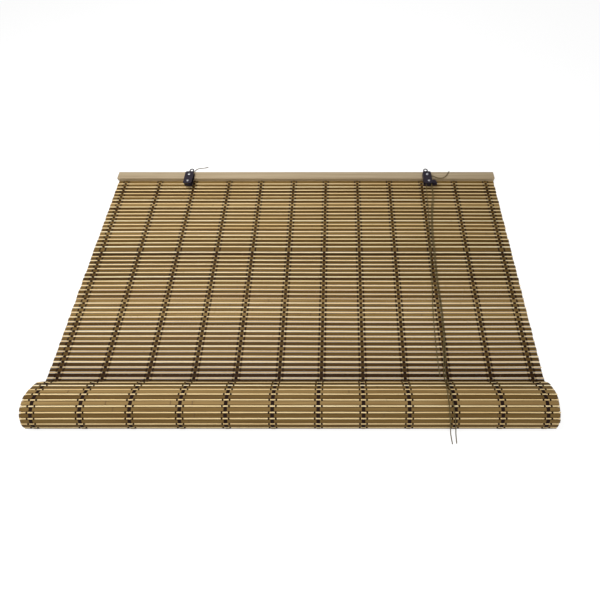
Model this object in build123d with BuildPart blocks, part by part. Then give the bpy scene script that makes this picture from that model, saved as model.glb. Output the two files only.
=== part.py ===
from build123d import *
import math
import os

# Bamboo roll-up blind, lying on its back with the lower part rolled up on top of the sheet.
# X runs along the slats, +Y from the roll to the headrail, +Z up from the surface it lies on.
# Sizes in mm. The origin is the bottom centre of the blind without its cords.

# Driving dimensions
blind_width = 900.0  # length of every slat, stick and rail
sideways_drift = 2.5  # how far the roll has crept to -X against the sheet
row_pitch = 10.24  # one slat and one stick
row_count = 51  # rows from the headrail to the roll
wide_row = 21  # the row with the one broader slat
wide_row_extra = 4.85  # how much broader it is

slat_width = 7.0
slat_thickness = 1.3
stick_diameter = 2.6
weave_gap = 0.05  # between a stick and the warp on either side of it

warp_thickness = 0.4
warp_band_width = 4.8  # the middle band of a warp column
warp_thread_width = 1.6  # the thin band on each side of it
warp_thread_offset = 5.5  # from the middle band to each thin band
warp_inset = 18.6  # from the ends of the slats to the first column
warp_gaps = (81.5, 82.5, 83.5, 76.5, 78.0, 76.5, 75.5, 76.5, 77.0, 78.3, 75.5)  # between columns

rail_width = 21.4
rail_thickness = 8.5
rail_corner = 1.0
rail_lap = 0.2  # how far the rail reaches past the first slat

staple_crown = 10.0
staple_wire = 0.5
staple_leg_width = 1.0
staple_depth = 5.0  # legs in the rail
staple_clearance = 0.05

roll_depth = 89.5  # Y, over the whole roll
roll_height = 37.5
roll_front_reach = 43.0  # from the top of the roll to its nose
roll_nose_height = 3.0
roll_crest_radius = 25.0  # where the top bends into the slope at the back
roll_crest_turn = 20.0  # degrees
roll_overhang = 21.2  # how much of the sheet's last rows the back of the roll lies on
bottom_rail_width = 24.0
bottom_rail_thickness = 8.0
bottom_rail_corner = 0.8
bottom_rail_clearance = 0.3

left_unit_x = -276.0  # from the middle of the sheet
right_unit_x = 287.5
screw_setback = 4.1  # from the rail's front edge back to the mounting screws
plate_width = 19.6
plate_thickness = 1.0
plate_gap = 7.0  # between the two plates of a bracket
plate_front = 28.0  # from the screw to the bracket's front end
plate_back = 10.0  # from the screw to the upper plate's back end
plate_corner = 4.0
eye_offset = 21.5  # from the screw to the hanging eye
eye_hole_radius = 3.0
eye_rim = 2.5
lobe_reach = 21.0  # from the screw sideways to the lobe that carries the cam
lobe_radius = 7.5

screw_shank_radius = 1.5
screw_head_radius = 3.0
screw_head_height = 1.5
screw_slot_length = 3.6
screw_slot_width = 0.7
screw_slot_depth = 0.8
screw_grip = 7.5  # depth in the rail
spacer_radius = 2.5
hole_clearance = 0.05

wheel_setback = 20.0  # from the screw forward to the wheel's axle
right_wheel_shift = 2.2  # the lock's wheel stands off the centre line
wheel_radius = 7.0
wheel_groove_radius = 5.2
wheel_groove_width = 4.4
wheel_side_gap = 0.4
pin_radius = 1.5
pin_head_radius = 2.8
pin_head_height = 0.9

cam_radius = 5.0
cam_nose = 1.4  # how far the cam's nose stands out of its circle
cam_nose_angle = 245.0
cam_nose_span = 24.0
cam_tooth_count = 4
cam_tooth_pitch = 13.0
cam_tooth_size = 0.7
cam_tab_length = 9.5
cam_tab_width = 4.0
cam_tab_angle = 318.0
cam_height = 6.0
cam_side_gap = 0.3
cam_cord_gap = 0.35

cord_diameter = 1.8
cord_groove_gap = 0.05
cord_stack_pitch = 2.2  # between the two cords in the lock's groove

# Levels
stick_z = warp_thickness + weave_gap + stick_diameter / 2
warp_top_z = 2 * stick_z - warp_thickness
sheet_top_z = 2 * stick_z
rail_top_z = sheet_top_z + rail_thickness
lower_plate_z = rail_top_z
gap_z = lower_plate_z + plate_thickness
upper_plate_z = gap_z + plate_gap
upper_top_z = upper_plate_z + plate_thickness
gap_middle_z = gap_z + plate_gap / 2

# Places along Y. The hanging eyes and the nose of the roll are the two ends of the blind.
first_slat_setback = rail_lap + slat_width / 2
sheet_reach = first_slat_setback + (row_count - 0.5) * row_pitch + wide_row_extra + stick_diameter / 2
eye_overhang = eye_offset + eye_hole_radius + eye_rim - (rail_width - screw_setback)
whole_depth = roll_depth - roll_overhang + sheet_reach + eye_overhang
rail_back_y = whole_depth / 2 - eye_overhang
rail_front_y = rail_back_y - rail_width
screw_y = rail_front_y + screw_setback
eye_y = screw_y + eye_offset
wheel_y = screw_y - wheel_setback
roll_nose_y = -whole_depth / 2
roll_top_y = roll_nose_y + roll_front_reach
roll_seam_y = roll_nose_y + roll_depth

# Places along X
sheet_x = sideways_drift / 2
roll_x = -sideways_drift / 2
left_x = sheet_x + left_unit_x
right_x = sheet_x + right_unit_x
right_wheel_x = right_x + right_wheel_shift
cord_wrap_radius = wheel_groove_radius + cord_diameter / 2 + cord_groove_gap
cam_x = right_wheel_x + cord_wrap_radius + cord_diameter / 2 + cam_cord_gap + cam_radius

os.makedirs("parts", exist_ok=True)


def save(part, name):
    part.label = name
    export_step(part, "parts/" + name + ".step")


def slat_centre(row):
    """Middle of the slat in a row, counted from the headrail; the broad slat moves all later rows."""
    moved = 0.0
    if row == wide_row:
        moved = wide_row_extra / 2
    if row > wide_row:
        moved = wide_row_extra
    return rail_back_y - first_slat_setback - row * row_pitch - moved


def stick_centre(row):
    """Middle of the stick that follows a row's slat."""
    moved = wide_row_extra if row >= wide_row else 0.0
    return rail_back_y - first_slat_setback - (row + 0.5) * row_pitch - moved


sheet_front_y = stick_centre(row_count - 1) - stick_diameter / 2
sheet_edge_x = sheet_x - blind_width / 2

warp_count = len(warp_gaps) + 1
warp_spots = [sheet_edge_x + warp_inset + sum(warp_gaps[:column]) for column in range(warp_count)]

# Headrail: a planed lath on top of the sheet's first rows, with a staple between each two warp columns
staple_row = 1
staple_spots = [(left + right) / 2 for left, right in zip(warp_spots, warp_spots[1:])]
staple_leg_x = staple_crown / 2 - staple_wire / 2
staple_y = slat_centre(staple_row)
staple_leg_spots = [(x + side * staple_leg_x, staple_y) for x in staple_spots for side in (-1, 1)]

with BuildPart() as headrail:
    rail_middle_y = (rail_front_y + rail_back_y) / 2
    with BuildSketch(Plane.YZ.offset(sheet_edge_x)):
        with Locations((rail_middle_y, sheet_top_z + rail_thickness / 2)):
            RectangleRounded(rail_width, rail_thickness, rail_corner)
    extrude(amount=blind_width)
    with BuildSketch(Plane.XY.offset(rail_top_z)):
        with Locations((left_x, screw_y), (right_x, screw_y)):
            Circle(screw_shank_radius + hole_clearance)
    extrude(amount=-(screw_grip + hole_clearance), mode=Mode.SUBTRACT)
    with BuildSketch(Plane.XY.offset(sheet_top_z)):
        with Locations(*staple_leg_spots):
            Rectangle(staple_wire + 2 * staple_clearance, staple_leg_width + 2 * staple_clearance)
    extrude(amount=staple_depth + staple_clearance, mode=Mode.SUBTRACT)
save(headrail.part, "headrail")

# Staples: driven from behind through the second slat into the rail
staple_bottom_z = stick_z - slat_thickness / 2 - weave_gap - staple_wire
with BuildPart() as headrail_staples:
    with BuildSketch(Plane.XY.offset(staple_bottom_z)):
        with Locations(*[(x, staple_y) for x in staple_spots]):
            Rectangle(staple_crown, staple_leg_width)
    extrude(amount=staple_wire)
    with BuildSketch(Plane.XY.offset(staple_bottom_z)):
        with Locations(*staple_leg_spots):
            Rectangle(staple_wire, staple_leg_width)
    extrude(amount=sheet_top_z + staple_depth - staple_bottom_z)
save(headrail_staples.part, "headrail_staples")

# Slats: flat strips of bamboo with eased edges, one of them broader
plain_rows = [row for row in range(row_count) if row != wide_row]
slat_easing = slat_thickness / 4
with BuildPart() as panel_slats:
    with BuildSketch(Plane.YZ.offset(sheet_edge_x)):
        with Locations(*[(slat_centre(row), stick_z) for row in plain_rows]):
            RectangleRounded(slat_width, slat_thickness, slat_easing)
        with Locations((slat_centre(wide_row), stick_z)):
            RectangleRounded(slat_width + wide_row_extra, slat_thickness, slat_easing)
    extrude(amount=blind_width)
    with BuildSketch(Plane.XY.offset(stick_z)):
        with Locations(*staple_leg_spots):
            Rectangle(staple_wire + 2 * staple_clearance, staple_leg_width + 2 * staple_clearance)
    extrude(amount=slat_thickness, both=True, mode=Mode.SUBTRACT)
save(panel_slats.part, "panel_slats")

# Sticks: thin round rods between the slats
with BuildPart() as panel_sticks:
    with BuildSketch(Plane.YZ.offset(sheet_edge_x)):
        with Locations(*[(stick_centre(row), stick_z) for row in range(row_count)]):
            Circle(stick_diameter / 2)
    extrude(amount=blind_width)
save(panel_sticks.part, "panel_sticks")

# Warp columns: bands of thread in front of the rows and behind them
warp_length = rail_back_y - sheet_front_y
warp_middle_y = (rail_back_y + sheet_front_y) / 2
for column, warp_x in enumerate(warp_spots):
    with BuildPart() as warp_column:
        for level in (0, warp_top_z):
            with BuildSketch(Plane.XY.offset(level)):
                with Locations((warp_x, warp_middle_y)):
                    Rectangle(warp_band_width, warp_length)
                with Locations(
                    (warp_x - warp_thread_offset, warp_middle_y),
                    (warp_x + warp_thread_offset, warp_middle_y),
                ):
                    Rectangle(warp_thread_width, warp_length)
            extrude(amount=warp_thickness)
    save(warp_column.part, "warp_column_{:02d}".format(column + 1))

# Roll: the sheet runs under it to the nose, up over the top, down the slope behind, then winds inwards
nose_radius = roll_nose_height
crest_turn = math.radians(roll_crest_turn)
crest_end = (
    roll_top_y + roll_crest_radius * math.sin(crest_turn),
    roll_height - roll_crest_radius * (1 - math.cos(crest_turn)),
)
slope_start = (math.cos(crest_turn), -math.sin(crest_turn))
roll_middle_z = roll_height / 2
with BuildPart() as slat_roll:
    with BuildSketch(Plane.YZ.offset(roll_x - blind_width / 2)):
        with BuildLine():
            Line((sheet_front_y, sheet_top_z), (roll_seam_y, sheet_top_z))
            TangentArc(crest_end, (roll_seam_y, sheet_top_z), tangent=slope_start)
            TangentArc((roll_top_y, roll_height), crest_end, tangent=(1, 0))
            EllipticalCenterArc(
                (roll_top_y, roll_nose_height),
                roll_front_reach,
                roll_height - roll_nose_height,
                start_angle=90,
                arc_size=90,
            )
            RadiusArc((roll_nose_y, nose_radius), (roll_nose_y + nose_radius, 0), -nose_radius)
            Line((roll_nose_y + nose_radius, 0), (sheet_front_y, 0))
            Line((sheet_front_y, 0), (sheet_front_y, sheet_top_z))
        make_face()
        with Locations((roll_top_y, roll_middle_z)):
            pocket_width = bottom_rail_width + 2 * bottom_rail_clearance
            pocket_thickness = bottom_rail_thickness + 2 * bottom_rail_clearance
            Rectangle(pocket_width, pocket_thickness, mode=Mode.SUBTRACT)
    extrude(amount=blind_width)
save(slat_roll.part, "slat_roll")

# Bottom rail: the lath at the heart of the roll
with BuildPart() as bottom_rail:
    with BuildSketch(Plane.YZ.offset(roll_x - blind_width / 2)):
        with Locations((roll_top_y, roll_middle_z)):
            RectangleRounded(bottom_rail_width, bottom_rail_thickness, bottom_rail_corner)
    extrude(amount=blind_width)
save(bottom_rail.part, "bottom_rail")


def build_bracket(unit_x, wheel_x, has_lobe):
    """Two steel plates joined by a wall on the -X side; the lower one carries the eye and any lobe."""
    plate_middle_y = screw_y + (plate_back - plate_front) / 2
    wall_x = unit_x - plate_width / 2 + plate_thickness / 2
    with BuildPart() as bracket:
        with BuildSketch(Plane.XY.offset(lower_plate_z)):
            with Locations((unit_x, plate_middle_y)):
                RectangleRounded(plate_width, plate_front + plate_back, plate_corner)
            with Locations((unit_x, (eye_y + screw_y) / 2)):
                Rectangle(2 * (eye_hole_radius + eye_rim), eye_y - screw_y)
            with Locations((unit_x, eye_y)):
                Circle(eye_hole_radius + eye_rim)
                Circle(eye_hole_radius, mode=Mode.SUBTRACT)
            if has_lobe:
                with Locations((unit_x + (lobe_reach - lobe_radius) / 2, wheel_y)):
                    Rectangle(lobe_reach - lobe_radius, 2 * lobe_radius)
                with Locations((unit_x + lobe_reach - lobe_radius, wheel_y)):
                    Circle(lobe_radius)
        extrude(amount=plate_thickness)
        with BuildSketch(Plane.XY.offset(upper_plate_z)):
            with Locations((unit_x, plate_middle_y)):
                RectangleRounded(plate_width, plate_front + plate_back, plate_corner)
        extrude(amount=plate_thickness)
        with BuildSketch(Plane.XY.offset(gap_z)):
            with Locations((wall_x, plate_middle_y)):
                Rectangle(plate_thickness, plate_front + plate_back - 2 * plate_corner)
        extrude(amount=plate_gap)
        with BuildSketch(Plane.XY.offset(lower_plate_z)):
            with Locations((unit_x, screw_y)):
                Circle(screw_shank_radius + hole_clearance)
            with Locations((wheel_x, wheel_y)):
                Circle(pin_radius + hole_clearance)
        extrude(amount=upper_top_z - lower_plate_z, mode=Mode.SUBTRACT)
        if has_lobe:
            with BuildSketch(Plane.XY.offset(lower_plate_z)):
                with Locations((cam_x, wheel_y)):
                    Circle(pin_radius + hole_clearance)
            extrude(amount=plate_thickness, mode=Mode.SUBTRACT)
    return bracket


def build_screw(unit_x):
    """Cross-slotted wood screw through both plates and the spacer into the headrail."""
    with BuildPart() as screw:
        with BuildSketch(Plane.XY.offset(upper_top_z)):
            with Locations((unit_x, screw_y)):
                Circle(screw_head_radius)
        extrude(amount=screw_head_height)
        fillet(screw.edges().group_by(Axis.Z)[-1], screw_head_height * 0.6)
        with BuildSketch(Plane.XY.offset(upper_top_z)):
            with Locations((unit_x, screw_y)):
                Circle(screw_shank_radius)
        extrude(amount=-(upper_top_z - rail_top_z + screw_grip))
        chamfer(screw.edges().group_by(Axis.Z)[0], screw_shank_radius * 0.6)
        with BuildSketch(Plane.XY.offset(upper_top_z + screw_head_height)):
            with Locations((unit_x, screw_y)):
                Rectangle(screw_slot_length, screw_slot_width)
                Rectangle(screw_slot_width, screw_slot_length)
        extrude(amount=-screw_slot_depth, mode=Mode.SUBTRACT)
    return screw


def build_spacer(unit_x):
    """Sleeve that keeps the plates apart at the screw."""
    with BuildPart() as spacer:
        with BuildSketch(Plane.XY.offset(gap_z)):
            with Locations((unit_x, screw_y)):
                Circle(spacer_radius)
                Circle(screw_shank_radius + hole_clearance, mode=Mode.SUBTRACT)
        extrude(amount=plate_gap)
    return spacer


def build_wheel(wheel_x):
    """Grooved wheel that turns on its pin between the plates."""
    half_height = plate_gap / 2 - wheel_side_gap
    groove_slope = (wheel_radius - wheel_groove_radius) / 4
    with BuildPart() as wheel:
        with BuildSketch(Plane.XZ.offset(-wheel_y)):
            with BuildLine():
                Polyline(
                    (wheel_x + pin_radius + hole_clearance, gap_middle_z - half_height),
                    (wheel_x + wheel_radius, gap_middle_z - half_height),
                    (wheel_x + wheel_radius, gap_middle_z - wheel_groove_width / 2 - groove_slope),
                    (wheel_x + wheel_groove_radius, gap_middle_z - wheel_groove_width / 2),
                    (wheel_x + wheel_groove_radius, gap_middle_z + wheel_groove_width / 2),
                    (wheel_x + wheel_radius, gap_middle_z + wheel_groove_width / 2 + groove_slope),
                    (wheel_x + wheel_radius, gap_middle_z + half_height),
                    (wheel_x + pin_radius + hole_clearance, gap_middle_z + half_height),
                    close=True,
                )
            make_face()
        revolve(axis=Axis((wheel_x, wheel_y, 0), (0, 0, 1)))
    return wheel


def build_pin(pin_x, top_z):
    """Rivet through the plates with a head at each end; the upper head sits at top_z."""
    with BuildPart() as pin:
        with BuildSketch(Plane.XY.offset(lower_plate_z - pin_head_height)):
            with Locations((pin_x, wheel_y)):
                Circle(pin_head_radius)
        extrude(amount=pin_head_height)
        with BuildSketch(Plane.XY.offset(lower_plate_z)):
            with Locations((pin_x, wheel_y)):
                Circle(pin_radius)
        extrude(amount=top_z - lower_plate_z)
        with BuildSketch(Plane.XY.offset(top_z)):
            with Locations((pin_x, wheel_y)):
                Circle(pin_head_radius)
        extrude(amount=pin_head_height)
        fillet(pin.edges().group_by(Axis.Z)[-1], pin_head_height * 0.6)
    return pin


# Pulley on the left
save(build_bracket(left_x, left_x, False).part, "left_bracket")
save(build_screw(left_x).part, "left_screw")
save(build_spacer(left_x).part, "left_spacer")
save(build_wheel(left_x).part, "left_wheel")
save(build_pin(left_x, upper_top_z).part, "left_wheel_pin")

# Cord lock on the right
save(build_bracket(right_x, right_wheel_x, True).part, "right_bracket")
save(build_screw(right_x).part, "right_screw")
save(build_spacer(right_x).part, "right_spacer")
save(build_wheel(right_wheel_x).part, "right_wheel")
save(build_pin(right_wheel_x, upper_top_z).part, "right_wheel_pin")
cam_bottom_z = gap_z + cam_side_gap
cam_top_z = cam_bottom_z + cam_height
save(build_pin(cam_x, cam_top_z + cam_side_gap).part, "lock_cam_pin")

# Lock cam: its toothed nose swings up against the cords and holds them on the wheel
with BuildPart() as lock_cam:
    with BuildSketch(Plane.XY.offset(cam_bottom_z)):
        with Locations((cam_x, wheel_y)):
            Circle(cam_radius)
            with PolarLocations((cam_radius + cam_nose) / 2, 1, start_angle=cam_nose_angle):
                SlotOverall(cam_radius + cam_nose, cam_radius)
            with PolarLocations(cam_tab_length / 2, 1, start_angle=cam_tab_angle):
                SlotOverall(cam_tab_length, cam_tab_width)
            with PolarLocations(
                cam_radius + cam_nose,
                cam_tooth_count,
                start_angle=cam_nose_angle - cam_nose_span,
                angular_range=cam_tooth_pitch * cam_tooth_count,
            ):
                RegularPolygon(cam_tooth_size, 3, mode=Mode.SUBTRACT)
            Circle(pin_radius + hole_clearance, mode=Mode.SUBTRACT)
    extrude(amount=cam_height)
save(lock_cam.part, "lock_cam")

# Cords. A route is a list of points; each corner of the tube is an arc as large as its runs allow,
# except where the cord goes round a wheel.
cord_on_sheet_z = sheet_top_z + cord_diameter / 2 + 0.5
cord_on_floor_z = cord_diameter / 2 + 0.05
cord_on_rail_z = rail_top_z + cord_diameter / 2 + 0.4
lock_left_x = right_wheel_x - cord_wrap_radius
lock_right_x = right_wheel_x + cord_wrap_radius
lock_over_y = wheel_y + cord_wrap_radius
lower_cord_z = gap_middle_z - cord_stack_pitch / 2
upper_cord_z = gap_middle_z + cord_stack_pitch / 2
bracket_leg_y = screw_y - plate_front - 8.0
left_wall_face_x = left_x - plate_width / 2 + plate_thickness
right_wall_face_x = right_x - plate_width / 2 + plate_thickness

# From the crease behind the roll up the sheet, over the lock's wheel and back down over the roll
lift_cord_route = [
    (sheet_x + 254.9, roll_seam_y + 1.8, cord_on_sheet_z),
    (sheet_x + 256.4, -183.0, cord_on_sheet_z),
    (sheet_x + 260.0, -148.0, cord_on_sheet_z),
    (sheet_x + 262.5, -110.0, cord_on_sheet_z),
    (sheet_x + 264.6, -70.0, cord_on_sheet_z),
    (sheet_x + 268.6, -26.0, cord_on_sheet_z),
    (sheet_x + 272.5, 20.0, cord_on_sheet_z),
    (sheet_x + 275.4, 67.0, cord_on_sheet_z),
    (sheet_x + 278.6, 112.0, cord_on_sheet_z),
    (sheet_x + 280.8, 155.0, cord_on_sheet_z),
    (sheet_x + 282.9, 192.5, cord_on_sheet_z + 0.2),
    (sheet_x + 283.5, 218.5, cord_on_sheet_z + 4.4),
    (lock_left_x, bracket_leg_y, lower_cord_z),
    (lock_left_x, lock_over_y, lower_cord_z),
    (lock_right_x, lock_over_y, lower_cord_z),
    (lock_right_x, bracket_leg_y, lower_cord_z),
    (sheet_x + 296.2, 218.5, cord_on_sheet_z + 4.2),
    (sheet_x + 294.8, 191.0, cord_on_sheet_z + 0.3),
    (sheet_x + 289.9, 152.0, cord_on_sheet_z),
    (sheet_x + 285.7, 110.0, cord_on_sheet_z),
    (sheet_x + 282.7, 68.0, cord_on_sheet_z),
    (sheet_x + 280.5, 24.0, cord_on_sheet_z),
    (sheet_x + 279.9, -20.0, cord_on_sheet_z),
    (sheet_x + 280.4, -64.0, cord_on_sheet_z),
    (sheet_x + 279.6, -106.0, cord_on_sheet_z),
    (sheet_x + 277.0, -146.0, cord_on_sheet_z),
    (sheet_x + 272.4, -180.0, cord_on_sheet_z),
    (sheet_x + 269.2, -202.0, cord_on_sheet_z + 0.6),
    (sheet_x + 266.6, -216.0, 14.6),
    (sheet_x + 264.4, -229.0, 26.6),
    (sheet_x + 262.6, -245.0, 36.6),
    (sheet_x + 261.8, -263.5, 40.3),
    (sheet_x + 262.2, -281.8, 35.6),
    (sheet_x + 264.0, -297.2, 25.0),
    (sheet_x + 266.4, -305.2, 10.8),
    (sheet_x + 268.2, -312.2, 1.8),
    (sheet_x + 269.5, -325.4, cord_on_floor_z),
]
# From the far side of the lock over the same wheel and down beside the first cord
pull_cord_route = [
    (right_wall_face_x, lock_over_y, upper_cord_z),
    (lock_right_x, lock_over_y, upper_cord_z),
    (lock_right_x, bracket_leg_y, upper_cord_z),
    (sheet_x + 298.8, 218.5, cord_on_sheet_z + 6.0),
    (sheet_x + 297.6, 190.5, cord_on_sheet_z + 0.7),
    (sheet_x + 292.5, 151.0, cord_on_sheet_z),
    (sheet_x + 288.2, 109.0, cord_on_sheet_z),
    (sheet_x + 285.3, 66.0, cord_on_sheet_z),
    (sheet_x + 283.0, 22.0, cord_on_sheet_z),
    (sheet_x + 282.3, -22.0, cord_on_sheet_z),
    (sheet_x + 282.7, -66.0, cord_on_sheet_z),
    (sheet_x + 281.9, -107.0, cord_on_sheet_z),
    (sheet_x + 279.5, -146.0, cord_on_sheet_z),
    (sheet_x + 275.5, -178.0, cord_on_sheet_z),
    (sheet_x + 272.4, -201.0, cord_on_sheet_z + 0.5),
    (sheet_x + 270.2, -215.2, 14.2),
    (sheet_x + 268.6, -228.4, 26.3),
    (sheet_x + 267.9, -244.2, 36.5),
    (sheet_x + 268.7, -262.5, 40.4),
    (sheet_x + 270.4, -281.4, 35.6),
    (sheet_x + 272.7, -297.0, 25.0),
    (sheet_x + 275.4, -305.0, 10.6),
    (sheet_x + 276.9, -311.8, 1.7),
    (sheet_x + 276.7, -324.4, cord_on_floor_z),
]
# Round the left wheel, back between the plates and over the headrail
left_tail_route = [
    (left_wall_face_x, wheel_y - cord_wrap_radius, gap_middle_z),
    (left_x + cord_wrap_radius, wheel_y - cord_wrap_radius, gap_middle_z),
    (left_x + cord_wrap_radius, screw_y - 3.0, gap_middle_z),
    (left_x + 7.3, screw_y + 11.5, gap_middle_z - 0.8),
    (left_x + 11.6, screw_y + 23.5, cord_on_rail_z + 0.5),
    (left_x + 18.5, screw_y + 32.2, cord_on_rail_z - 4.2),
    (left_x + 25.5, screw_y + 38.6, 3.4),
    (left_x + 32.3, screw_y + 44.8, cord_on_floor_z),
]
# From the spacer of the lock along the headrail's front edge and across its top
right_tail_route = [
    (right_x + spacer_radius + 0.02, screw_y, gap_middle_z),
    (right_x + 13.0, screw_y, gap_middle_z),
    (right_x + 25.5, screw_y - 4.4, gap_middle_z - 1.4),
    (right_x + 38.6, screw_y - 2.6, cord_on_rail_z + 0.4),
    (right_x + 48.8, screw_y + 6.8, cord_on_rail_z),
    (right_x + 56.4, screw_y + 18.2, cord_on_rail_z + 0.1),
]
cord_routes = {
    "lift_cord": (lift_cord_route, (13, 14)),
    "pull_cord": (pull_cord_route, (1,)),
    "left_tail_cord": (left_tail_route, (1,)),
    "right_tail_cord": (right_tail_route, ()),
}


def corner_radii(points, wheel_corners):
    """Radius of each inner corner: the wheel's own at its corners, else what 0.45 of the shorter run allows."""
    radii = []
    for index in range(1, len(points) - 1):
        before = Vector(points[index]) - Vector(points[index - 1])
        after = Vector(points[index + 1]) - Vector(points[index])
        half_turn = math.radians(before.get_angle(after)) / 2
        radius = 0.45 * min(before.length, after.length) / math.tan(half_turn)
        radii.append(cord_wrap_radius if index in wheel_corners else radius)
    return radii


for cord_name, (route, wheel_corners) in cord_routes.items():
    radii = corner_radii(route, wheel_corners)
    start_direction = Vector(route[1]) - Vector(route[0])
    with BuildPart() as cord:
        with BuildLine() as cord_line:
            FilletPolyline(*route, radius=radii)
        with BuildSketch(Plane(origin=route[0], z_dir=start_direction)):
            Circle(cord_diameter / 2)
        sweep(path=cord_line.wire())
    cord_length = cord_line.wire().length
    volume_share = cord.part.volume / (math.pi * cord_diameter**2 / 4 * cord_length)
    print(cord_name, "length", round(cord_length, 1), "volume share", round(volume_share, 4))
    print("  radii", [round(radius, 1) for radius in radii])
    save(cord.part, cord_name)
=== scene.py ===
import bisect
import math
import random

import bpy
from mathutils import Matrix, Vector


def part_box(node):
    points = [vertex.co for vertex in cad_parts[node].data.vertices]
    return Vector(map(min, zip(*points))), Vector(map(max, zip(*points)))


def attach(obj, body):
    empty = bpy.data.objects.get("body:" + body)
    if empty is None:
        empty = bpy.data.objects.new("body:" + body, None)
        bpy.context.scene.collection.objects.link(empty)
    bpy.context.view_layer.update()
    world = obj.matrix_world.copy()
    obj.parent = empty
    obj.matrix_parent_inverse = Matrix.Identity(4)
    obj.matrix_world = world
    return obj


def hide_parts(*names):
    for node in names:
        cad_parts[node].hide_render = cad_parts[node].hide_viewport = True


# Bamboo roll-up blind on a pale floor. Everything is in metres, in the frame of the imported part:
# X along the slats, +Y from the roll to the headrail, +Z up. Sizes thought of in mm are times MM.
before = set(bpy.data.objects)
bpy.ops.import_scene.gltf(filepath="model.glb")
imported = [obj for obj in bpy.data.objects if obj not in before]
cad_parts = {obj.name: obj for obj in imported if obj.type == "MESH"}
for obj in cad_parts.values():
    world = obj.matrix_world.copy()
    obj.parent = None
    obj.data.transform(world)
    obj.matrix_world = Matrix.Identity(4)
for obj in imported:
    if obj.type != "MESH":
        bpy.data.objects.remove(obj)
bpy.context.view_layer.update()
MM = 0.001
rng = random.Random(41)

bpy.context.scene.view_settings.view_transform = "Standard"

rail_low, rail_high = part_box("headrail")
sticks_low, sticks_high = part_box("panel_sticks")
roll_low, roll_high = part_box("slat_roll")
sheet_x = (rail_low.x + rail_high.x) / 2
roll_x = (roll_low.x + roll_high.x) / 2
half_width = (rail_high.x - rail_low.x) / 2

row_pitch = 10.24 * MM
row_count = 51
wide_row = 21  # its slat is broader by the extra
wide_row_extra = 4.85 * MM
first_slat_at = 3.7 * MM  # from the top end of the sheet
slat_width = 7.0 * MM
slat_thickness = 1.3 * MM
slat_easing = 0.38 * MM  # of the slat's long edges
stick_radius = 1.3 * MM
sheet_z = (sticks_low.z + sticks_high.z) / 2
yarn_radius = 0.2 * MM
cord_diameter = 1.8 * MM


# ---------------------------------------------------------------- node materials


def material(name):
    """New material with its node tree and its shader."""
    made = bpy.data.materials.new(name)
    made.use_nodes = True
    return made, made.node_tree, made.node_tree.nodes["Principled BSDF"]


def node(tree, kind, values=None, **settings):
    """New node; values go on its inputs by name, settings on the node itself."""
    made = tree.nodes.new(kind)
    for key, value in settings.items():
        setattr(made, key, value)
    for key, value in (values or {}).items():
        made.inputs[key].default_value = value
    return made


def maths(tree, operation, first, second):
    """Sum, product or the like of two values; each is a number or an output."""
    made = node(tree, "ShaderNodeMath", operation=operation)
    for index, value in enumerate((first, second)):
        if isinstance(value, bpy.types.NodeSocket):
            tree.links.new(value, made.inputs[index])
        else:
            made.inputs[index].default_value = value
    return made.outputs[0]


def mixed(tree, share, first, second, blend="MIX"):
    """Mix of two colours; each of the three inputs is a number, a colour or an output."""
    made = node(tree, "ShaderNodeMix", data_type="RGBA", blend_type=blend)
    for socket, value in ((made.inputs[0], share), (made.inputs[6], first), (made.inputs[7], second)):
        if isinstance(value, bpy.types.NodeSocket):
            tree.links.new(value, socket)
        elif isinstance(value, tuple):
            socket.default_value = (*value, 1.0)
        else:
            socket.default_value = value
    return made.outputs[2]


def ramp(tree, source, stops):
    """Colour ramp; stops are (position, colour) with a colour of one or three numbers."""
    made = node(tree, "ShaderNodeValToRGB")
    while len(made.color_ramp.elements) < len(stops):
        made.color_ramp.elements.new(0.5)
    for element, (position, colour) in zip(made.color_ramp.elements, stops):
        element.position = position
        element.color = (*colour, 1.0) if isinstance(colour, tuple) else (colour, colour, colour, 1.0)
    tree.links.new(source, made.inputs[0])
    return made.outputs[0]


def attribute(tree, name):
    return node(tree, "ShaderNodeAttribute", attribute_name=name).outputs["Fac"]


def stretched(tree, scale, shift=None):
    """Object coordinates times scale, moved by a number so that each piece has its own pattern."""
    coordinates = node(tree, "ShaderNodeTexCoord").outputs["Object"]
    if shift is not None:
        moved = node(tree, "ShaderNodeVectorMath", operation="ADD")
        tree.links.new(coordinates, moved.inputs[0])
        tree.links.new(shift, moved.inputs[1])
        coordinates = moved.outputs[0]
    mapping = node(tree, "ShaderNodeMapping", {"Scale": scale})
    tree.links.new(coordinates, mapping.inputs["Vector"])
    return mapping.outputs[0]


def noise(tree, vector, detail=3.0, roughness=0.55):
    made = node(tree, "ShaderNodeTexNoise", {"Scale": 1.0, "Detail": detail, "Roughness": roughness})
    tree.links.new(vector, made.inputs["Vector"])
    return made.outputs["Fac"]


def bump(tree, shader, height, strength, distance):
    made = node(tree, "ShaderNodeBump", {"Strength": strength, "Distance": distance})
    tree.links.new(height, made.inputs["Height"])
    tree.links.new(made.outputs[0], shader.inputs["Normal"])


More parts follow.
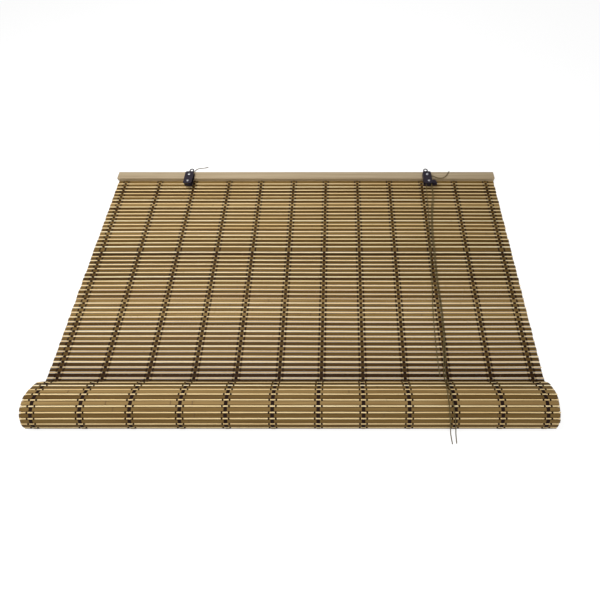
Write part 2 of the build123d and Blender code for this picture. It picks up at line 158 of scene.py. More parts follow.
def bamboo(name, shades, stain, grain_depth, least_roughness):
    """Split bamboo: its own shade for every strip (with painted shade folded in near the headrail and the
    roll), long grain, stain clouds, dark knots, and dark long edges that are partly painted shade of the gaps
    and partly the bamboo's own darker edges.
    """
    made, tree, shader = material(name)
    shift = attribute(tree, "shift")
    tone = attribute(tree, "tone")
    knot = attribute(tree, "knot")
    fine = noise(tree, stretched(tree, (10.0, 1500.0, 1500.0), shift), detail=4.0)
    streaks = noise(tree, stretched(tree, (5.0, 420.0, 420.0), shift), detail=2.0)
    clouds = noise(tree, stretched(tree, (7.0, 30.0, 30.0), shift), detail=2.0)
    colour = ramp(tree, tone, shades)
    streak_share = ramp(tree, streaks, [(0.34, 0.0), (0.72, 1.0)])
    colour = mixed(tree, maths(tree, "MULTIPLY", streak_share, 0.55), colour, stain, "MULTIPLY")
    cloud_share = ramp(tree, clouds, [(0.42, 0.0), (0.78, 1.0)])
    colour = mixed(tree, maths(tree, "MULTIPLY", cloud_share, 0.5), colour, stain, "MULTIPLY")
    fine_share = ramp(tree, fine, [(0.30, 0.0), (0.70, 1.0)])
    colour = mixed(tree, maths(tree, "MULTIPLY", fine_share, grain_depth), colour, stain, "MULTIPLY")
    colour = mixed(tree, maths(tree, "MULTIPLY", knot, 0.75), colour, (0.10, 0.055, 0.025))
    # Painted shade: the slats' long edges are darkened to stand for the shadow in the gaps beside the sticks,
    # together with some real darkening of the bamboo edges.
    edge_shade_share = maths(tree, "MULTIPLY", attribute(tree, "edge"), 0.62)
    colour = mixed(tree, edge_shade_share, colour, (0.075, 0.038, 0.012))
    shader.inputs["Specular IOR Level"].default_value = 0.12
    tree.links.new(colour, shader.inputs["Base Color"])
    rough = maths(tree, "ADD", maths(tree, "MULTIPLY", fine, 0.22), least_roughness)
    tree.links.new(rough, shader.inputs["Roughness"])
    bump(tree, shader, maths(tree, "ADD", fine, streaks), 0.35, 0.00025)
    return made


slat_wood = bamboo(
    "slat_bamboo",
    shades=[
        (0.0, (0.048, 0.022, 0.003)),
        (0.3, (0.100, 0.056, 0.013)),
        (0.6, (0.174, 0.106, 0.030)),
        (0.85, (0.268, 0.174, 0.058)),
        (1.0, (0.375, 0.256, 0.102)),
    ],
    stain=(0.52, 0.42, 0.30),
    grain_depth=0.5,
    least_roughness=0.52,
)
stick_wood = bamboo(
    "stick_bamboo",
    shades=[(0.0, (0.68, 0.51, 0.27)), (0.5, (0.92, 0.74, 0.42)), (1.0, (1.0, 0.90, 0.62))],
    stain=(0.82, 0.70, 0.50),
    grain_depth=0.3,
    least_roughness=0.50,
)

# Planed lath: pale wood with long straight grain and a few darker pores
rail_wood, tree, shader = material("planed_wood")
grain = noise(tree, stretched(tree, (4.0, 260.0, 260.0)), detail=5.0, roughness=0.6)
pores = noise(tree, stretched(tree, (18.0, 1600.0, 1600.0)), detail=3.0)
clouds = noise(tree, stretched(tree, (3.0, 14.0, 14.0)), detail=2.0)
wood_shades = [(0.3, (0.335, 0.255, 0.155)), (0.55, (0.425, 0.335, 0.212)), (0.8, (0.50, 0.405, 0.27))]
colour = ramp(tree, grain, wood_shades)
pore_share = ramp(tree, pores, [(0.52, 0.0), (0.75, 0.5)])
colour = mixed(tree, pore_share, colour, (0.55, 0.45, 0.32), "MULTIPLY")
cloud_share = ramp(tree, clouds, [(0.4, 0.0), (0.8, 0.45)])
colour = mixed(tree, cloud_share, colour, (0.75, 0.66, 0.52), "MULTIPLY")
tree.links.new(colour, shader.inputs["Base Color"])
tree.links.new(maths(tree, "ADD", maths(tree, "MULTIPLY", grain, 0.2), 0.45), shader.inputs["Roughness"])
bump(tree, shader, maths(tree, "ADD", grain, pores), 0.3, 0.0002)

# Yarn: dark brown, twisted, a little furry
thread, tree, shader = material("brown_yarn")
twist_values = {"Scale": 260.0, "Distortion": 2.0, "Detail": 1.0}
twist = node(tree, "ShaderNodeTexWave", twist_values, bands_direction="DIAGONAL")
tree.links.new(node(tree, "ShaderNodeTexCoord").outputs["Object"], twist.inputs["Vector"])
fuzz = noise(tree, stretched(tree, (900.0, 900.0, 900.0)), detail=2.0)
yarn_shades = [(0.25, (0.010, 0.004, 0.002)), (0.6, (0.024, 0.010, 0.006)), (0.85, (0.055, 0.024, 0.014))]
colour = ramp(tree, fuzz, yarn_shades)
tree.links.new(mixed(tree, 0.35, colour, twist.outputs["Color"], "MULTIPLY"), shader.inputs["Base Color"])
tree.links.new(maths(tree, "ADD", maths(tree, "MULTIPLY", fuzz, 0.2), 0.75), shader.inputs["Roughness"])
shader.inputs["Specular IOR Level"].default_value = 0.12
bump(tree, shader, twist.outputs["Fac"], 0.6, 0.0002)

# Cord: olive grey braid, crossing strands
cord_braid, tree, shader = material("olive_braid")
coordinates = node(tree, "ShaderNodeTexCoord").outputs["Object"]
strands = []
for direction in (1.0, -1.0):
    turned = node(tree, "ShaderNodeMapping", {"Rotation": (0.0, 0.0, direction * 0.7)})
    tree.links.new(coordinates, turned.inputs["Vector"])
    wave = node(tree, "ShaderNodeTexWave", {"Scale": 230.0, "Distortion": 0.6}, bands_direction="Y")
    tree.links.new(turned.outputs[0], wave.inputs["Vector"])
    strands.append(wave.outputs["Fac"])
braid = maths(tree, "MAXIMUM", strands[0], strands[1])
soil = noise(tree, stretched(tree, (60.0, 60.0, 60.0)), detail=3.0)
colour = mixed(tree, braid, (0.058, 0.040, 0.013), (0.165, 0.122, 0.050))
soil_share = ramp(tree, soil, [(0.35, 0.0), (0.75, 0.6)])
colour = mixed(tree, soil_share, colour, (0.60, 0.52, 0.40), "MULTIPLY")
tree.links.new(colour, shader.inputs["Base Color"])
tree.links.new(maths(tree, "ADD", maths(tree, "MULTIPLY", soil, 0.2), 0.62), shader.inputs["Roughness"])
shader.inputs["Specular IOR Level"].default_value = 0.15
bump(tree, shader, braid, 0.7, 0.00025)

# Black lacquer on steel: orange peel and scuffs that let the metal through
lacquer, tree, shader = material("black_lacquer")
peel = noise(tree, stretched(tree, (700.0, 700.0, 700.0)), detail=2.0)
scuffs = noise(tree, stretched(tree, (160.0, 420.0, 260.0)), detail=5.0, roughness=0.7)
worn = ramp(tree, scuffs, [(0.66, 0.0), (0.74, 1.0)])
colour = mixed(tree, peel, (0.010, 0.008, 0.014), (0.030, 0.022, 0.036))
colour = mixed(tree, maths(tree, "MULTIPLY", worn, 0.5), colour, (0.16, 0.14, 0.16))
tree.links.new(colour, shader.inputs["Base Color"])
tree.links.new(maths(tree, "ADD", maths(tree, "MULTIPLY", scuffs, 0.25), 0.20), shader.inputs["Roughness"])
shader.inputs["Specular IOR Level"].default_value = 0.3
bump(tree, shader, peel, 0.25, 0.0002)

# Zinc-plated steel: bright, with fine scratches and dull spots
zinc, tree, shader = material("zinc_plate")
scratches = noise(tree, stretched(tree, (2200.0, 180.0, 900.0)), detail=3.0)
spots = noise(tree, stretched(tree, (500.0, 500.0, 500.0)), detail=3.0)
colour = mixed(tree, spots, (0.58, 0.58, 0.60), (0.92, 0.92, 0.93))
tree.links.new(colour, shader.inputs["Base Color"])
shader.inputs["Metallic"].default_value = 1.0
tree.links.new(maths(tree, "ADD", maths(tree, "MULTIPLY", scratches, 0.25), 0.16), shader.inputs["Roughness"])
bump(tree, shader, scratches, 0.2, 0.0001)

# Staple wire: duller zinc
staple_metal, tree, shader = material("staple_wire")
spots = noise(tree, stretched(tree, (800.0, 300.0, 800.0)), detail=3.0)
tree.links.new(mixed(tree, spots, (0.36, 0.36, 0.37), (0.66, 0.66, 0.66)), shader.inputs["Base Color"])
shader.inputs["Metallic"].default_value = 1.0
tree.links.new(maths(tree, "ADD", maths(tree, "MULTIPLY", spots, 0.3), 0.25), shader.inputs["Roughness"])
bump(tree, shader, spots, 0.2, 0.0001)

# Moulded nylon: nearly black, faint flow marks
nylon, tree, shader = material("black_moulding")
flow = noise(tree, stretched(tree, (350.0, 350.0, 900.0)), detail=3.0)
tree.links.new(mixed(tree, flow, (0.016, 0.015, 0.018), (0.045, 0.042, 0.046)), shader.inputs["Base Color"])
tree.links.new(maths(tree, "ADD", maths(tree, "MULTIPLY", flow, 0.25), 0.35), shader.inputs["Roughness"])
bump(tree, shader, flow, 0.3, 0.0002)


# ---------------------------------------------------------------- mesh building


class Shell:
    """Collects lofted strips into one mesh, with a few numbers for the material at each point."""

    def __init__(self):
        self.points = []
        self.faces = []
        self.marks = {"tone": [], "shift": [], "knot": [], "edge": []}

    def loft(self, rings, tone, shift, knots=None, edges=None):
        """Closed skin through rings of as many points each, with flat ends."""
        start, count = len(self.points), len(rings[0])
        for index, ring in enumerate(rings):
            self.points.extend(ring)
            self.marks["tone"].extend([tone] * count)
            self.marks["shift"].extend([shift] * count)
            self.marks["knot"].extend([knots[index] if knots else 0.0] * count)
            self.marks["edge"].extend(edges or [0.0] * count)
        for index in range(len(rings) - 1):
            base = start + index * count
            for side in range(count):
                after = (side + 1) % count
                self.faces.append((base + side, base + after, base + count + after, base + count + side))
        last = start + (len(rings) - 1) * count
        self.faces.append(tuple(start + side for side in reversed(range(count))))
        self.faces.append(tuple(last + side for side in range(count)))

    def piece(self, name, finish, slot, replaced):
        """Make the mesh's object, fixed to the blind in place of a CAD node."""
        mesh = bpy.data.meshes.new(name)
        mesh.from_pydata(self.points, [], self.faces)
        for mark, values in self.marks.items():
            mesh.attributes.new(mark, "FLOAT", "POINT").data.foreach_set("value", values)
        mesh.shade_smooth()
        mesh.set_sharp_from_angle(angle=math.radians(50))
        mesh.materials.append(finish)
        made = bpy.data.objects.new(name, mesh)
        bpy.context.scene.collection.objects.link(made)
        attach(made, "blind")
        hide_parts(replaced)


# ---------------------------------------------------------------- the path of the sheet
# In a YZ section the sheet runs flat from the headrail, under the roll to its nose, up over the top,
# down behind and then round again inside.

roll_height = roll_high.z
front_reach = 43.0 * MM  # from the roll's nose to its top
roll_top_y = roll_low.y + front_reach
roll_middle_z = roll_height / 2
nose_radius = 3.0 * MM
crest_radius = 25.0 * MM
crest_turn = math.radians(20)
seam_y = roll_low.y + 89.5 * MM  # where the roll's back comes down on the sheet
seam_z = 3.5 * MM
sheet_depth = 3.6 * MM  # from one turn of the roll to the next
turns = 3
winding_in = (math.radians(2), math.radians(-24))  # where each turn sinks behind the next one


def eased(share):
    """Smooth step from 0 to 1."""
    share = min(1.0, max(0.0, share))
    return share * share * (3 - 2 * share)


def arc(start, tangent, end, count):
    """Points of the circular arc that leaves start along tangent and reaches end, without its last point."""
    chord = (end[0] - start[0], end[1] - start[1])
    half_turn = math.atan2(chord[1], chord[0]) - math.atan2(tangent[1], tangent[0])
    radius = math.hypot(*chord) / (2 * math.sin(half_turn))
    middle = (start[0] - radius * tangent[1], start[1] + radius * tangent[0])
    points = []
    for i in range(count):
        turn = 2 * half_turn * i / count
        y, z = start[0] - middle[0], start[1] - middle[1]
        points.append((
            middle[0] + y * math.cos(turn) - z * math.sin(turn),
            middle[1] + y * math.sin(turn) + z * math.cos(turn),
        ))
    return points


def roll_outline():
    """Outer outline of the roll, as a closed convex curve in the YZ plane."""
    front_rise = 34.5 * MM
    crest_end = (
        roll_top_y + crest_radius * math.sin(crest_turn),
        roll_height - crest_radius * (1 - math.cos(crest_turn)),
    )
    slope = (math.cos(crest_turn), -math.sin(crest_turn))
    points = []
    for i in range(12):
        angle = math.radians(-90 - 90 * i / 12)
        y = roll_low.y + nose_radius + nose_radius * math.cos(angle)
        points.append((y, nose_radius + nose_radius * math.sin(angle)))
    for i in range(90):
        angle = math.radians(180 - 90 * i / 90)
        y = roll_top_y + front_reach * math.cos(angle)
        points.append((y, nose_radius + front_rise * math.sin(angle)))
    points += arc((roll_top_y, roll_height), (1.0, 0.0), crest_end, 8)
    points += arc(crest_end, slope, (seam_y, seam_z), 40)
    return points + [(seam_y, seam_z), (seam_y + 2.0 * MM, 0.0)]


outline = roll_outline()
outline_sides = []  # outward direction of each side of the outline, and its distance from the middle
for (y0, z0), (y1, z1) in zip(outline, outline[1:] + outline[:1]):
    length = math.hypot(y1 - y0, z1 - z0)
    out = (-(z1 - z0) / length, (y1 - y0) / length)
    outline_sides.append((*out, (y0 - roll_top_y) * out[0] + (z0 - roll_middle_z) * out[1]))


def reach(angle, depth):
    """How far from the middle of the roll its outline is, drawn in by depth, in a direction."""
    dy, dz = math.cos(angle), math.sin(angle)
    facing = [(out_y * dy + out_z * dz, away) for out_y, out_z, away in outline_sides]
    return min((away - depth) / share for share, away in facing if share > 0.02)


def wound_path():
    """Middle of the sheet: flat from the headrail to under the roll, then round it, turn inside turn."""
    points = [(rail_high.y, sheet_z)]
    points += [(seam_y + (roll_top_y - seam_y) * i / 20, sheet_z) for i in range(21)]
    for turn in range(turns):
        for step in range(2, 240):
            angle = math.radians(-90 - 1.5 * step)
            from_back = angle + 2 * math.pi
            share = (winding_in[0] - from_back) / (winding_in[0] - winding_in[1])
            sunk = turn + eased(share)
            away = reach(angle, sheet_z + sheet_depth * sunk)
            y, z = roll_top_y + away * math.cos(angle), roll_middle_z + away * math.sin(angle)
            if math.radians(-80) < from_back < 0:
                z = max(z, sheet_z + sheet_depth * (turn + 1))
            points.append((y, z))
    return points


def evened(points, step, window):
    """The same line with points a step apart, its corners rounded by averaging over a window of points."""
    line, carried = [points[0]], 0.0
    for here, there in zip(points, points[1:]):
        length = math.dist(here, there)
        along = step - carried
        while along < length:
            share = along / length
            line.append((here[0] + (there[0] - here[0]) * share, here[1] + (there[1] - here[1]) * share))
            along += step
        carried = length - (along - step)
    rounded = line[:window]
    for index in range(window, len(line) - window):
        near = line[index - window : index + window + 1]
        rounded.append((sum(y for y, z in near) / len(near), sum(z for y, z in near) / len(near)))
    return rounded


path = evened(wound_path(), 1.0 * MM, 3)
travelled = [0.0]
for here, there in zip(path, path[1:]):
    travelled.append(travelled[-1] + math.dist(here, there))


def section(distance):
    """Centre, direction of travel and front normal of the sheet, distance along it from its top end."""

    def spot(along):
        index = min(max(bisect.bisect(travelled, along) - 1, 0), len(path) - 2)
        share = (along - travelled[index]) / (travelled[index + 1] - travelled[index])
        (y0, z0), (y1, z1) = path[index], path[index + 1]
        return y0 + (y1 - y0) * share, z0 + (z1 - z0) * share

    centre = spot(distance)
    before, after = spot(distance - 1.2 * MM), spot(distance + 1.2 * MM)
    length = math.dist(before, after)
    travel = ((after[0] - before[0]) / length, (after[1] - before[1]) / length)
    return centre, travel, (travel[1], -travel[0])


# Where each slat and stick is along the path. The rows hidden under the roll are spread a little.
hidden_rows = 6
hidden_slack = 2.4 * MM
slats, sticks = [], []
row = 0
while True:
    moved = wide_row_extra if row >= wide_row else 0.0
    extra = hidden_slack * eased((row - row_count + 1) / hidden_rows)
    slat_at = first_slat_at + row * row_pitch + moved + extra
    if row == wide_row:
        slat_at -= wide_row_extra / 2
    stick_at = first_slat_at + (row + 0.5) * row_pitch + moved + extra
    if stick_at > travelled[-1] - 4 * MM:
        break
    slats.append(slat_at)
    sticks.append(stick_at)
    row += 1


def drift(row):
    """X of the middle of a row: the roll has crept sideways against the sheet."""
    return sheet_x + (roll_x - sheet_x) * eased((row - row_count + 1) / hidden_rows)


def sway(x, distance):
    """Slow in-plane waves of the sheet, shared by slats, sticks and yarns."""
    fade = eased(distance / 0.05) * (1 - 0.6 * eased((distance - 0.45) / 0.06))
    long_wave = 0.45 * math.sin(5.2 * x + 6.0 * distance + 0.6)
    short_wave = 0.25 * math.sin(11.0 * x - 9.0 * distance)
    return fade * MM * (long_wave + short_wave)


def placed(x, distance, frame_at, across, out):
    """Point at x, moved across (against travel) and out (towards the front) from the middle of the sheet."""
    (y, z), (ty, tz), (ny, nz) = frame_at
    across += sway(x, distance)
    return x, y - ty * across + ny * out, z - tz * across + nz * out


def slat_section(width, crown):
    """Section of a slat, flat at the back and a little crowned in front: (across, out)."""
    half, thick, ease = width / 2, slat_thickness / 2, slat_easing
    return [
        (half, -thick + ease),
        (half, thick - ease),
        (half - ease, thick),
        (half * 0.70, thick + crown * 0.5),
        (0.0, thick + crown),
        (-half * 0.70, thick + crown * 0.5),
        (-half + ease, thick),
        (-half, thick - ease),
        (-half, -thick + ease),
        (-half + ease, -thick),
        (-half * 0.70, -thick),
        (half * 0.70, -thick),
        (half - ease, -thick),
    ]


def stations(low, high, runs, knots):
    """X places of the rings, even but with three close ones at each knot, and the knot's strength there."""
    clear, half_knot = 4 * MM, 1.6 * MM
    places = [(low + (high - low) * i / runs, 0.0) for i in range(runs + 1)]
    for knot in knots:
        places = [p for p in places if abs(p[0] - knot) > clear or p[0] in (low, high)]
        places += [(knot - half_knot, 0.0), (knot, 1.0), (knot + half_knot, 0.0)]
    return sorted(places)


def strip_ends(row, wander):
    """Low and high X end of a strip; each wanders a little."""
    middle = drift(row)
    low = middle - half_width + rng.uniform(-wander, wander) * MM
    high = middle + half_width + rng.uniform(-wander, wander) * MM
    return low, high


def painted_shade(row, distance):
    """How much painted shade darkens the strips: the first slat under the headrail's front edge, the rows in
    the roll's shadow behind it, and the rows at its foot.
    """
    if row == 0:
        return 0.30
    if row < row_count:
        return 0.45 * eased((row - row_count + 7) / 3)
    foot_at = rail_high.y - roll_low.y + 10 * MM
    return 0.30 * max(0.0, 1 - abs(distance - foot_at) / (30 * MM))


fixed_tones = {wide_row: 0.62, wide_row + 1: 0.08}  # the broad slat is pale and the next one dark


def lay_slat(shell, row, distance, width, inner):
    """Add a slat; inner ones are inside the roll and are plainer."""
    low, high = strip_ends(row, 0.7)
    knots = []
    if not inner:
        knots = [rng.uniform(low + 0.03, high - 0.03) for _ in range(rng.choice((1, 2, 2, 3)))]
    tilt = math.radians(rng.uniform(-1.6, 1.6))
    width *= rng.uniform(0.965, 1.0)
    shape = slat_section(width, rng.uniform(0.02, 0.09) * MM)
    frame_at = section(distance)
    rings, strengths = [], []
    for x, strength in stations(low, high, 4 if inner else 14, knots):
        swell = 1 + 0.12 * strength
        ring = []
        for across, out in shape:
            out = out * swell + across * math.sin(tilt)
            ring.append(placed(x, distance, frame_at, across, out))
        rings.append(ring)
        strengths.append(strength)
    tone = rng.gauss(0.50, 0.21) + (0.10 if row % 3 == 0 else -0.03)
    # Painted shade is taken off the tone of the slats under the headrail edge, behind the roll and at its
    # foot.
    tone += 0.26 * eased((row - row_count) / 4) - painted_shade(row, distance)
    tone = fixed_tones.get(row, tone)
    # Edge mask for the painted shade along each slat's long edges.
    edges = [min(1.0, max(0.0, (abs(across) / (width / 2) - 0.72) * 5)) for across, out in shape]
    shell.loft(rings, min(1.0, max(0.0, tone)), rng.uniform(0.0, 40.0), strengths, edges)


def lay_stick(shell, row, distance, inner):
    """Add a stick; inner ones are inside the roll and are plainer."""
    low, high = strip_ends(row, 1.1)
    frame_at = section(distance)
    sides = 8
    phase = rng.uniform(0, 6.28)
    rings, strengths = [], []
    knots = [] if inner else [rng.uniform(low + 0.05, high - 0.05)]
    for x, strength in stations(low, high, 4 if inner else 16, knots):
        radius = stick_radius * (0.97 + 0.02 * math.sin(31 * x + phase) + 0.03 * strength)
        off = 0.06 * MM * math.sin(17 * x + 2 * phase)
        ring = []
        for side in range(sides):
            angle = 2 * math.pi * side / sides
            across, out = radius * math.cos(angle) + off, radius * math.sin(angle)
            ring.append(placed(x, distance, frame_at, across, out))
        rings.append(ring)
        strengths.append(0.35 * strength)
    # Painted shade is taken off the tone of the sticks under the headrail edge, behind the roll and at its
    # foot.
    tone = rng.gauss(0.55, 0.2) - painted_shade(row, distance)
    shell.loft(rings, min(1.0, max(0.0, tone)), rng.uniform(0.0, 40.0), strengths)


panel_slats, panel_sticks, roll_slats, roll_sticks = Shell(), Shell(), Shell(), Shell()
# Rows past the roll's outer turn are inside it: plainer strips, and no yarns
outer_length = rail_high.y - roll_low.y + 175.0 * MM
outer_rows = next(index for index, at in enumerate(sticks) if at > outer_length)
for row, (slat_at, stick_at) in enumerate(zip(slats, sticks)):
    on_panel = row < row_count
    width = slat_width + (wide_row_extra if row == wide_row else 0.0)
    lay_slat(panel_slats if on_panel else roll_slats, row, slat_at, width, row > outer_rows)
    lay_stick(panel_sticks if on_panel else roll_sticks, row, stick_at, row > outer_rows)

panel_slats.piece("bamboo_slats", slat_wood, "slat_wood", "panel_slats")
panel_sticks.piece("bamboo_sticks", stick_wood, "stick_wood", "panel_sticks")
roll_slats.piece("rolled_slats", slat_wood, "slat_wood", "slat_roll")
roll_sticks.piece("rolled_sticks", stick_wood, "stick_wood", "slat_roll")


# ---------------------------------------------------------------- yarns
# The middle band of a column passes in front of the sticks and behind the slats; the thin band on each
# side of it passes in front of the slats and behind the sticks.


def yarn_band(width, yarns):
    """Section of a flat band of yarns side by side: (along X, out)."""
    pitch = width / yarns
    lower = [(width / 2, 0.0)]
    for index in range(yarns):
        lower.append((width / 2 - (index + 0.5) * pitch, yarn_radius))
        if index < yarns - 1:
            lower.append((width / 2 - (index + 1) * pitch, yarn_radius * 0.35))
    lower.append((-width / 2, 0.0))
    return lower + [(x, -out) for x, out in reversed(lower[1:-1])]


def weave(rows, side):
    """Line of a band through the rows: (distance, row, frame, across, out). Side +1 is over the sticks."""
    line = []
    half_slat = slat_width / 2 - 0.35 * MM
    over_slat = -side * (slat_thickness / 2 + yarn_radius)
    over_stick = stick_radius + yarn_radius
    for row in rows:
        width = half_slat + (wide_row_extra / 2 if row == wide_row else 0.0)
        slat_frame, stick_frame = section(slats[row]), section(sticks[row])
        line.append((slats[row], row, slat_frame, width, over_slat))
        line.append((slats[row], row, slat_frame, -width, over_slat))
        for turned in (-94, -45, 0, 45, 94):
            angle = math.radians(turned)
            across, out = -over_stick * math.sin(angle), side * over_stick * math.cos(angle)
            line.append((sticks[row], row, stick_frame, across, out))
    return line


def lay_band(shell, x_middle, profile, line, shift):
    """Add a band of yarns along a woven line."""
    centres = []
    for distance, row, frame_at, across, out in line:
        x = x_middle + drift(row) - sheet_x
        centres.append(placed(x, distance, frame_at, across, out))
    rings = []
    for index, centre in enumerate(centres):
        before, after = centres[max(index - 1, 0)], centres[min(index + 1, len(centres) - 1)]
        dy, dz = after[1] - before[1], after[2] - before[2]
        length = math.hypot(dy, dz) or 1.0
        ny, nz = dz / length, -dy / length
        x_at = centre[0] + 0.12 * MM * math.sin(index * 0.9 + shift * 7)
        rings.append([(x_at + x, centre[1] + ny * out, centre[2] + nz * out) for x, out in profile])
    shell.loft(rings, 0.5, shift)


warp_boxes = {name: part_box(name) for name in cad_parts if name.startswith("warp_column_")}
middle_band, side_band = yarn_band(6.0 * MM, 5), yarn_band(3.0 * MM, 2)
side_offset = 5.9 * MM
roll_yarns = Shell()
for name in sorted(warp_boxes):
    low, high = warp_boxes[name]
    x_middle = (low.x + high.x) / 2
    panel_yarns = Shell()
    for shell, rows in ((panel_yarns, range(row_count)), (roll_yarns, range(row_count, outer_rows))):
        shift = rng.uniform(0.0, 5.0)
        over, under = weave(rows, 1), weave(rows, -1)
        lay_band(shell, x_middle, middle_band, over, shift)
        lay_band(shell, x_middle - side_offset, side_band, under, shift + 1)
        lay_band(shell, x_middle + side_offset, side_band, under, shift + 2)
    panel_yarns.piece(name.replace("warp_column", "yarn_column"), thread, "brown_thread", name)
roll_yarns.piece("rolled_yarns", thread, "brown_thread", "slat_roll")


# ---------------------------------------------------------------- cords


# The routes' points are in mm
screw_low, screw_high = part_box("right_screw")
left_screw_low, left_screw_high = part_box("left_screw")
wheel_low, wheel_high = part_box("right_wheel")
sheet_mm = sheet_x / MM
right_x = (screw_low.x + screw_high.x) / 2 / MM
left_x = (left_screw_low.x + left_screw_high.x) / 2 / MM
screw_y = (screw_low.y + screw_high.y) / 2 / MM
wheel_x = (wheel_low.x + wheel_high.x) / 2 / MM
wheel_y = (wheel_low.y + wheel_high.y) / 2 / MM
rail_top = rail_high.z / MM
gap_middle = (wheel_low.z + wheel_high.z) / 2 / MM
wrap = 6.15  # radius of the cord's middle round a wheel
on_sheet, on_floor, on_rail = 4.9, 0.95, rail_top + 1.3  # heights of the cord's middle
lock_left, lock_right, lock_over_y = wheel_x - wrap, wheel_x + wrap, wheel_y + wrap
lower_cord, upper_cord = gap_middle - 1.1, gap_middle + 1.1
leg_y = screw_y - 36.0
left_wall, right_wall = left_x - 8.8, right_x - 8.8

lift_cord_route = [
    (sheet_mm + 261.9, seam_y / MM + 1.8, on_sheet),
    (sheet_mm + 261.2, -183.0, on_sheet),
    (sheet_mm + 261.4, -148.0, on_sheet),
    (sheet_mm + 262.5, -110.0, on_sheet),
    (sheet_mm + 264.6, -70.0, on_sheet),
    (sheet_mm + 268.6, -26.0, on_sheet),
    (sheet_mm + 272.5, 20.0, on_sheet),
    (sheet_mm + 275.4, 67.0, on_sheet),
    (sheet_mm + 278.6, 112.0, on_sheet),
    (sheet_mm + 281.4, 155.0, on_sheet),
    (sheet_mm + 283.9, 192.5, on_sheet + 0.2),
    (sheet_mm + 283.5, 218.5, on_sheet + 4.4),
    (lock_left, leg_y, lower_cord),
    (lock_left, lock_over_y, lower_cord),
    (lock_right, lock_over_y, lower_cord),
    (lock_right, leg_y, lower_cord),
    (sheet_mm + 296.2, 218.5, on_sheet + 4.2),
    (sheet_mm + 292.0, 191.0, on_sheet + 0.3),
    (sheet_mm + 286.7, 152.0, on_sheet),
    (sheet_mm + 283.4, 110.0, on_sheet),
    (sheet_mm + 282.7, 68.0, on_sheet),
    (sheet_mm + 280.5, 24.0, on_sheet),
    (sheet_mm + 279.9, -20.0, on_sheet),
    (sheet_mm + 280.4, -64.0, on_sheet),
    (sheet_mm + 279.6, -106.0, on_sheet),
    (sheet_mm + 277.0, -146.0, on_sheet),
    (sheet_mm + 272.4, -180.0, on_sheet),
    (sheet_mm + 269.2, -202.0, on_sheet + 0.6),
    (sheet_mm + 266.6, -216.0, 14.6),
    (sheet_mm + 264.4, -229.0, 26.6),
    (sheet_mm + 262.6, -245.0, 36.6),
    (sheet_mm + 261.8, -263.5, 40.3),
    (sheet_mm + 262.2, -281.8, 35.6),
    (sheet_mm + 264.0, -297.2, 25.0),
    (sheet_mm + 266.4, -305.2, 10.8),
    (sheet_mm + 268.2, -312.2, 1.8),
    (sheet_mm + 269.5, -325.4, on_floor),
]
pull_cord_route = [
    (right_wall, lock_over_y, upper_cord),
    (lock_right, lock_over_y, upper_cord),
    (lock_right, leg_y, upper_cord),
    (sheet_mm + 298.8, 218.5, on_sheet + 6.0),
    (sheet_mm + 294.8, 190.5, on_sheet + 0.7),
    (sheet_mm + 289.3, 151.0, on_sheet),
    (sheet_mm + 285.9, 109.0, on_sheet),
    (sheet_mm + 285.3, 66.0, on_sheet),
    (sheet_mm + 283.0, 22.0, on_sheet),
    (sheet_mm + 282.3, -22.0, on_sheet),
    (sheet_mm + 282.7, -66.0, on_sheet),
    (sheet_mm + 281.9, -107.0, on_sheet),
    (sheet_mm + 279.5, -146.0, on_sheet),
    (sheet_mm + 275.5, -178.0, on_sheet),
    (sheet_mm + 272.4, -201.0, on_sheet + 0.5),
    (sheet_mm + 270.2, -215.2, 14.2),
    (sheet_mm + 268.6, -228.4, 26.3),
    (sheet_mm + 267.9, -244.2, 36.5),
    (sheet_mm + 268.7, -262.5, 40.4),
    (sheet_mm + 270.4, -281.4, 35.6),
    (sheet_mm + 272.7, -297.0, 25.0),
    (sheet_mm + 275.4, -305.0, 10.6),
    (sheet_mm + 276.9, -311.8, 1.7),
    (sheet_mm + 276.7, -324.4, on_floor),
]
left_tail_route = [
    (left_wall, wheel_y - wrap, gap_middle),
    (left_x + wrap, wheel_y - wrap, gap_middle),
    (left_x + wrap, screw_y - 3.0, gap_middle),
    (left_x + 7.3, screw_y + 11.5, gap_middle - 0.8),
    (left_x + 11.6, screw_y + 23.5, on_rail + 0.5),
    (left_x + 18.5, screw_y + 32.2, on_rail - 4.2),
    (left_x + 25.5, screw_y + 38.6, 3.4),
    (left_x + 32.3, screw_y + 44.8, on_floor),
]
right_tail_route = [
    (right_x + 2.52, screw_y, gap_middle),
    (right_x + 13.0, screw_y, gap_middle),
    (right_x + 25.5, screw_y - 6.4, gap_middle - 1.4),
    (right_x + 39.6, screw_y - 5.0, on_rail + 0.4),
    (right_x + 49.8, screw_y + 5.2, on_rail),
    (right_x + 56.4, screw_y + 18.2, on_rail + 0.1),
]


def lay_cord(name, route, node_name):
    """A braided cord along a route, in place of its CAD tube."""
    points = [(x * MM, y * MM, z * MM) for x, y, z in route]
    curve = bpy.data.curves.new(name, "CURVE")
    curve.dimensions = "3D"
    curve.bevel_depth = cord_diameter / 2
    curve.bevel_resolution = 2
    curve.use_fill_caps = True
    curve.resolution_u = 6
    spline = curve.splines.new("NURBS")
    spline.points.add(len(points) - 1)
    for point, place in zip(spline.points, points):
        point.co = (*place, 1.0)
    spline.order_u = 3
    spline.use_endpoint_u = True
    curve.materials.append(cord_braid)
    made = bpy.data.objects.new(name, curve)
    bpy.context.scene.collection.objects.link(made)
    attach(made, "blind")
    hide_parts(node_name)


lay_cord("lift_cord_braid", lift_cord_route, "lift_cord")
lay_cord("pull_cord_braid", pull_cord_route, "pull_cord")
lay_cord("left_tail_braid", left_tail_route, "left_tail_cord")
lay_cord("right_tail_braid", right_tail_route, "right_tail_cord")


# ---------------------------------------------------------------- carried-over CAD nodes

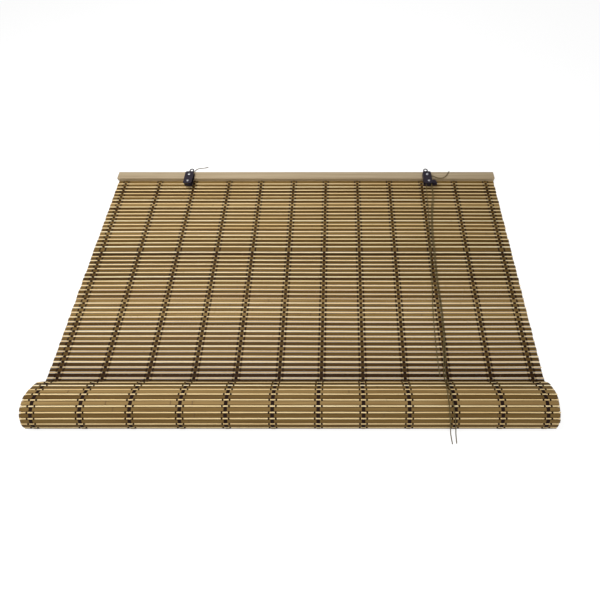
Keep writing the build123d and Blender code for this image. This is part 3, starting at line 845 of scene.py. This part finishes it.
finishes = {
    "headrail": rail_wood,
    "bottom_rail": rail_wood,
    "headrail_staples": staple_metal,
    "left_bracket": lacquer,
    "right_bracket": lacquer,
    "lock_cam": lacquer,
    "left_wheel": nylon,
    "right_wheel": nylon,
    "left_screw": zinc,
    "right_screw": zinc,
    "left_spacer": zinc,
    "right_spacer": zinc,
    "left_wheel_pin": zinc,
    "right_wheel_pin": zinc,
    "lock_cam_pin": lacquer,
}
for name, finish in finishes.items():
    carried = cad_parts[name]
    if not carried.material_slots:
        carried.data.materials.append(finish)
    for material_slot in carried.material_slots:
        material_slot.material = finish


# ---------------------------------------------------------------- floor, light and camera

floor_mesh = bpy.data.meshes.new("floor")
floor_mesh.from_pydata([(-6, -6, 0), (6, -6, 0), (6, 6, 0), (-6, 6, 0)], [], [(0, 1, 2, 3)])
floor_paint, tree, shader = material("pale_floor")
specks = noise(tree, stretched(tree, (3.0, 3.0, 3.0)), detail=2.0)
tree.links.new(mixed(tree, specks, (0.30, 0.30, 0.30), (0.32, 0.32, 0.32)), shader.inputs["Base Color"])
shader.inputs["Roughness"].default_value = 0.9
shader.inputs["Emission Color"].default_value = (1.0, 1.0, 1.0, 1.0)
shader.inputs["Emission Strength"].default_value = 0.80
floor_mesh.materials.append(floor_paint)
floor = bpy.data.objects.new("floor", floor_mesh)
bpy.context.scene.collection.objects.link(floor)

world = bpy.data.worlds.new("studio")
world.use_nodes = True
background = world.node_tree.nodes["Background"]
background.inputs["Color"].default_value = (1.0, 1.0, 1.0, 1.0)
background.inputs["Strength"].default_value = 0.34
bpy.context.scene.world = world


def soft_light(name, place, aim, size, power):
    """Square area light at a place, turned to its aim."""
    lamp = bpy.data.lights.new(name, "AREA")
    lamp.shape = "RECTANGLE"
    lamp.size = lamp.size_y = size
    lamp.energy = power
    made = bpy.data.objects.new(name, lamp)
    made.location = place
    made.rotation_euler = (Vector(aim) - Vector(place)).to_track_quat("-Z", "Y").to_euler()
    bpy.context.scene.collection.objects.link(made)


soft_light("key", (-0.38, 0.15, 0.95), (-0.1, 0.05, 0.0), 0.6, 8.2)
soft_light("fill", (0.05, -1.45, 1.75), (0.0, 0.0, 0.0), 1.8, 18.0)

camera_data = bpy.data.cameras.new("camera")
camera_data.sensor_width = 36.0
camera_data.lens = 23.05
camera_data.shift_x = -0.0656
camera_data.clip_start = 0.01
camera = bpy.data.objects.new("camera", camera_data)
camera.location = (0.081, -0.4155, 0.683)
camera.rotation_euler = (math.radians(28.1), 0.0, 0.0)
bpy.context.scene.collection.objects.link(camera)
bpy.context.scene.camera = camera
